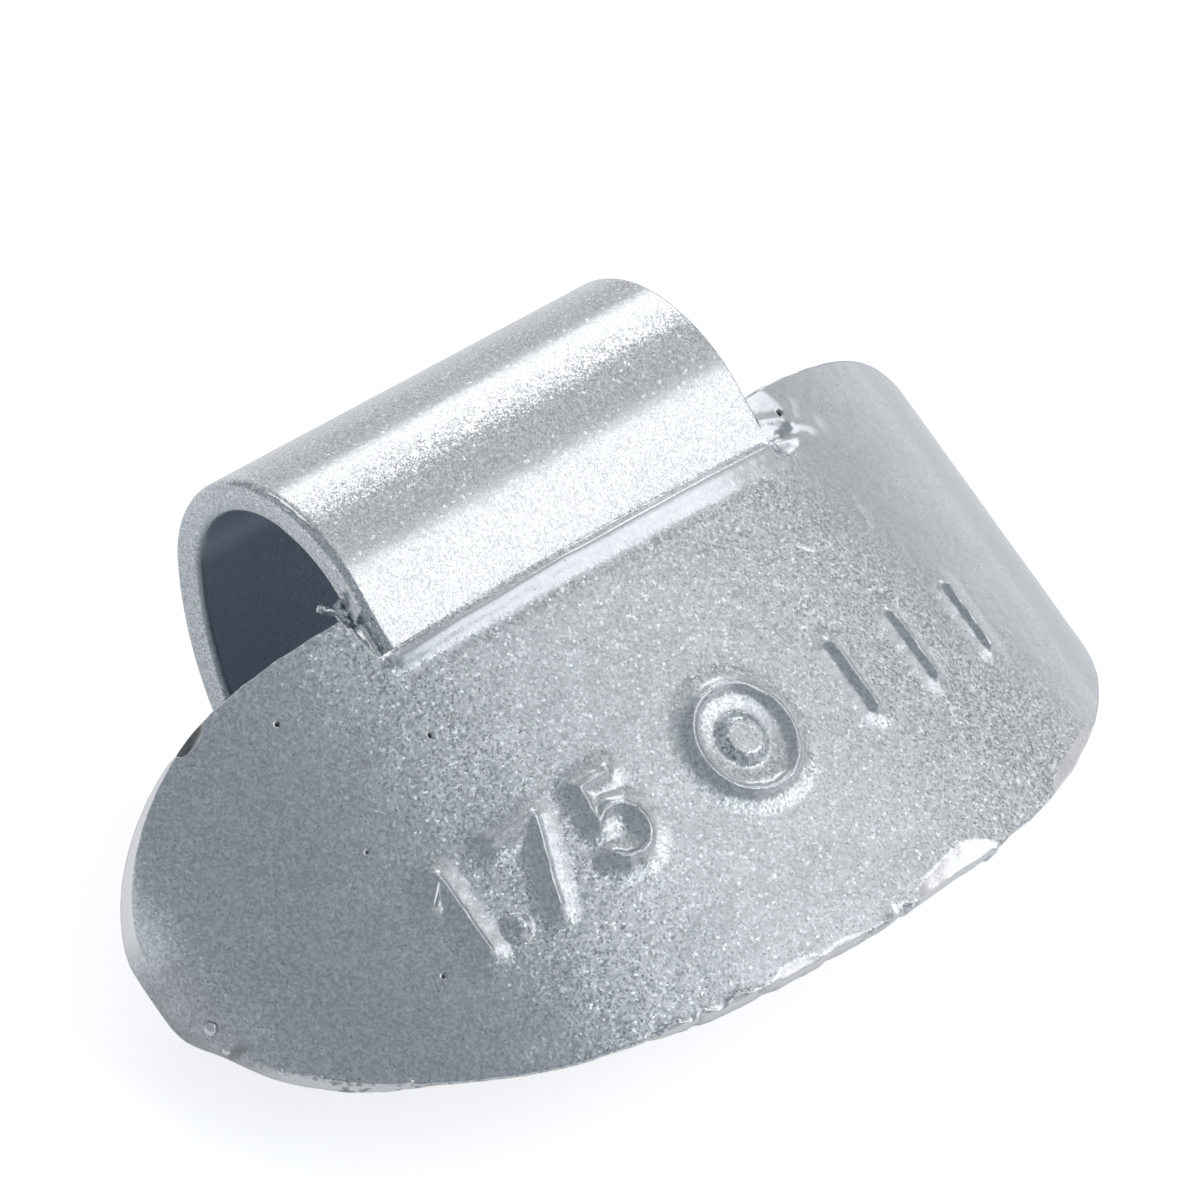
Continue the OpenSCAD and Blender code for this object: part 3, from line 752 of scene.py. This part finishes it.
def silverPaint(name, look):
    mat = bpy.data.materials.new(name)
    mat.use_nodes = True
    make, feed, calc, vector, remap = nodeTools(mat.node_tree)
    shader = mat.node_tree.nodes["Principled BSDF"]
    inMm = make("Mapping")                                          # metres to mm
    inMm.inputs["Scale"].default_value = (1 / mm, 1 / mm, 1 / mm)
    feed(inMm.inputs["Vector"], make("TexCoord").outputs["Object"])
    place = inMm.outputs["Vector"]

    def blend(share, a, b):
        node = make("Mix", data_type="RGBA")
        feed(node.inputs[0], share)
        for socket, value in ((node.inputs[6], a), (node.inputs[7], b)):
            feed(socket, (*value, 1) if isinstance(value, tuple) else value)
        return node.outputs[2]

    def noise(size, detail):
        node = make("TexNoise")
        node.inputs["Scale"].default_value, node.inputs["Detail"].default_value = 1 / size, detail
        feed(node.inputs["Vector"], place)
        return node.outputs["Fac"]

    def cells(size):
        # colour, distance from the middle and three random numbers of each cell
        node, parts = make("TexVoronoi"), make("SeparateColor")
        node.inputs["Scale"].default_value = 1 / size
        feed(node.inputs["Vector"], place)
        feed(parts.inputs[0], node.outputs["Color"])
        return node.outputs["Color"], node.outputs["Distance"], parts.outputs

    worn, mask = make("Attribute", attribute_name="paintWear"), make("SeparateColor")
    feed(mask.inputs[0], worn.outputs["Color"])
    thinPaintAndShade, grimeAndShade, still = mask.outputs[0], mask.outputs[1], mask.outputs[2]
    lively = remap(still, 0, 1, 1, 0.12)

    # flakes: each cell leans its own way and has its own brightness
    flakeColour, _, flakeParts = cells(look["flakeSize"])
    _, _, glintParts = cells(look["glintSize"])
    rare = calc("GREATER_THAN", glintParts[0], 1 - look["glintShare"])
    lean = calc("MULTIPLY", calc("ADD", calc("MULTIPLY", rare, look["glintTilt"]), look["flakeTilt"]), lively)
    tilt = vector("SCALE", vector("SUBTRACT", flakeColour, (0.5, 0.5, 0.5)), scale=lean)
    peel = make("Bump")                                             # orange peel of the sprayed coat
    peel.inputs["Strength"].default_value, peel.inputs["Distance"].default_value = look["peel"], 0.0001
    feed(peel.inputs["Height"], noise(look["peelSize"], 2))
    feed(shader.inputs["Normal"], vector("NORMALIZE", vector("ADD", peel.outputs["Normal"], tilt)))
    feed(shader.inputs["Coat Normal"], peel.outputs["Normal"])

    # colour: cloudy paint, speckle of the flakes and painted glints, dirt, scratches, bare lead and painted
    # shade, fresh paint and painted light, grime and painted shade
    wideCloud = calc("MULTIPLY", noise(look["cloudSize"], 4), 0.5)
    fineCloud = calc("MULTIPLY", noise(look["fineCloudSize"], 3), 0.5)
    colour = blend(remap(calc("ADD", wideCloud, fineCloud), 0.36, 0.64, 0, 1), look["dark"], look["light"])
    speckle = calc("MULTIPLY", calc("SUBTRACT", flakeParts[1], 0.5), look["speckle"])
    # painted glints: the rare cells are also made brighter in colour
    speckle = calc("ADD", speckle, calc("MULTIPLY", rare, look["glintGain"]))
    colour = vector("SCALE", colour, scale=calc("ADD", calc("MULTIPLY", speckle, lively), 1.0))
    _, dustDistance, dustParts = cells(look["dustSize"])
    speck = calc("MULTIPLY", calc("LESS_THAN", dustDistance, 0.3),
                 calc("GREATER_THAN", dustParts[2], 1 - look["dustShare"]))
    colour = blend(calc("MULTIPLY", speck, 0.75), colour, look["dirtAndShade"])
    for a, b, wide in look["strokes"]:
        a, b = (Vector([v / mm for v in toPart([q])[0]]) for q in (a, b))
        off = vector("SUBTRACT", place, a)
        along = calc("MINIMUM", vector("DOT_PRODUCT", off, (b - a) / (b - a).length_squared), 1.0, True)
        distance = vector("DISTANCE", off, vector("SCALE", b - a, scale=along))
        colour = blend(remap(distance, wide, wide * 0.4, 0, 0.8), colour, look["dirtAndShade"])
    # bare lead on the body, painted shade inside the clip's hook
    colour = blend(thinPaintAndShade, colour, look["bareAndShade"])
    # fresh paint on cut facets and lumps, painted light on the left end wall, the seam and the groove
    colour = blend(worn.outputs["Alpha"], colour, look["freshAndPaintedLight"])
    # grime along the rim and a smudge, painted shade in the pits, nicks, groove and lower left end
    colour = blend(calc("MULTIPLY", grimeAndShade, 0.92), colour, look["dirtAndShade"])
    feed(shader.inputs["Base Color"], colour)
    patchy = remap(noise(1.1, 3), 0.3, 0.7, look["roughness"] - 0.025, look["roughness"] + 0.025)
    rough = calc("ADD", patchy, calc("MULTIPLY", calc("ADD", thinPaintAndShade, grimeAndShade, True), 0.3))
    feed(shader.inputs["Roughness"], rough)
    shader.inputs["Metallic"].default_value = look["metallic"]
    shader.inputs["Coat Weight"].default_value = look["coat"]
    shader.inputs["Coat Roughness"].default_value = look["coatRoughness"]
    return mat


bodyPaint = silverPaint("silverPaintOnLead", bodyPaintLook)
clipPaint = silverPaint("silverPaintOnSteel", clipPaintLook)
print("paint: two silver coats")

casting = buildBody(bodyPaint)
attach(casting, "root"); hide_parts("weight_body")
print("body:", len(casting.data.vertices), "points")
strip = buildClip(clipPaint)
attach(strip, "root"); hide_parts("spring_clip")
print("clip:", len(strip.data.vertices), "points")

# the room is brighter on its right, by steps along a direction: from, to, brightness from, brightness to.
# Lamps: name, azimuth, elevation, distance, direction of the long side, length, width, brightness
studio = {
    "floorColour": (0.9, 0.9, 0.9), "floorGlow": 0.62, "glossyShare": 0.35, "leftTint": (0.92, 1.0, 1.08, 1),
    "room": [((1, 0, 0), -0.06, 0.42, 0.42, 0.72), ((1, 0, 0), 0.5, 0.78, 0, 0.08),
             ((1, 0, 0), 0.8, 0.93, 0, -0.14), ((0.99, 0.08, 0.1), 0.965, 1.0, 0, 0.45)],
    "lamps": [("softboxFront", 47, 45.5, 0.5, (0.84, 0.1, -0.53), 0.46, 0.25, 1.0),
              ("softboxBehind", 128, 34, 0.5, (0.6, 0.5, 0.6), 0.22, 0.2, 1.25)],
}


def makeFloor():
    mesh = bpy.data.meshes.new("floor")
    mesh.from_pydata([(-3, -3, 0), (3, -3, 0), (3, 3, 0), (-3, 3, 0)], [], [(0, 1, 2, 3)])
    floor = bpy.data.objects.new("floor", mesh)
    bpy.context.collection.objects.link(floor)
    mat = bpy.data.materials.new("paleFloor")
    mat.use_nodes = True
    make, feed, calc, *_ = nodeTools(mat.node_tree)
    shader = mat.node_tree.nodes["Principled BSDF"]
    shader.inputs["Base Color"].default_value = (*studio["floorColour"], 1)
    shader.inputs["Roughness"].default_value = 0.8
    shader.inputs["Emission Color"].default_value = (1, 1, 1, 1)
    path = make("LightPath")                                    # white to the camera, darker in reflections
    share = calc("MULTIPLY", path.outputs["Is Glossy Ray"], studio["glossyShare"])
    seen = calc("MAXIMUM", path.outputs["Is Camera Ray"], share)
    feed(shader.inputs["Emission Strength"], calc("MULTIPLY", seen, studio["floorGlow"]))
    mesh.materials.append(mat)


def aimedLamp(name, azimuth, elevation, distance, along, length, width, brightness):
    # a soft box that looks at the origin, its long side along the given direction
    az, el = math.radians(azimuth), math.radians(elevation)
    back = Vector((math.sin(az) * math.cos(el), -math.cos(az) * math.cos(el), math.sin(el)))
    side = Vector(along)
    side = (side - back * side.dot(back)).normalized()
    up = back.cross(side)
    lamp = bpy.data.lights.new(name, "AREA")
    lamp.shape, lamp.size, lamp.size_y = "RECTANGLE", length, width
    lamp.energy = brightness * math.pi * length * width
    obj = bpy.data.objects.new(name, lamp)
    at = back * distance
    obj.matrix_world = Matrix(((side.x, up.x, back.x, at.x), (side.y, up.y, back.y, at.y),
                               (side.z, up.z, back.z, at.z), (0, 0, 0, 1)))
    bpy.context.collection.objects.link(obj)


def makeWorld():
    world = bpy.data.worlds.new("studioRoom")
    bpy.context.scene.world = world
    world.use_nodes = True
    make, feed, calc, vector, remap = nodeTools(world.node_tree)
    back = world.node_tree.nodes["Background"]
    toward = make("TexCoord").outputs["Generated"]
    cameraRay = make("LightPath").outputs["Is Camera Ray"]
    total = None
    for direction, lo, hi, toLo, toHi in studio["room"]:
        level = remap(vector("DOT_PRODUCT", toward, direction), lo, hi, toLo, toHi, "SMOOTHSTEP")
        total = level if total is None else calc("ADD", total, level)
    white = remap(vector("DOT_PRODUCT", toward, (1, 0, 0)), -0.12, 0.4, 0, 1, "SMOOTHSTEP")
    tint = make("Mix", data_type="RGBA")                            # the left of the room is a little blue
    for k, value in ((0, calc("ADD", cameraRay, white)), (6, studio["leftTint"]), (7, (1, 1, 1, 1))):
        feed(tint.inputs[k], value)
    feed(back.inputs["Color"], tint.outputs[2])
    mix = make("Mix", data_type="FLOAT")                            # plain white to the camera
    for k, value in ((0, cameraRay), (2, total), (3, 1.0)):
        feed(mix.inputs[k], value)
    feed(back.inputs["Strength"], mix.outputs[0])


makeFloor()
makeWorld()
for lampSettings in studio["lamps"]:
    aimedLamp(*lampSettings)
print("studio: floor, room and", len(studio["lamps"]), "soft boxes")

# camera as fitted to the picture, in mm
view = {"at": (-199.398, -142.542, 233.895), "right": (0.69733, -0.69549, 0.17327),
        "up": (0.39216, 0.57257, 0.71998), "forward": (0.59995, 0.43411, -0.67202), "lens": 289.585}
camData = bpy.data.cameras.new("viewCamera")
camData.lens, camData.sensor_width, camData.sensor_fit = view["lens"], 36, "HORIZONTAL"
camData.clip_start, camData.clip_end = 0.01, 20
camera = bpy.data.objects.new("viewCamera", camData)
r, u, f = (Vector(view[k]).normalized() for k in ("right", "up", "forward"))
camera.matrix_world = Matrix(((r.x, u.x, -f.x, view["at"][0] * mm), (r.y, u.y, -f.y, view["at"][1] * mm),
                              (r.z, u.z, -f.z, view["at"][2] * mm), (0, 0, 0, 1)))
bpy.context.collection.objects.link(camera)
bpy.context.scene.camera = camera
bpy.context.scene.view_settings.view_transform = "Standard"
print("camera: lens", view["lens"], "mm")
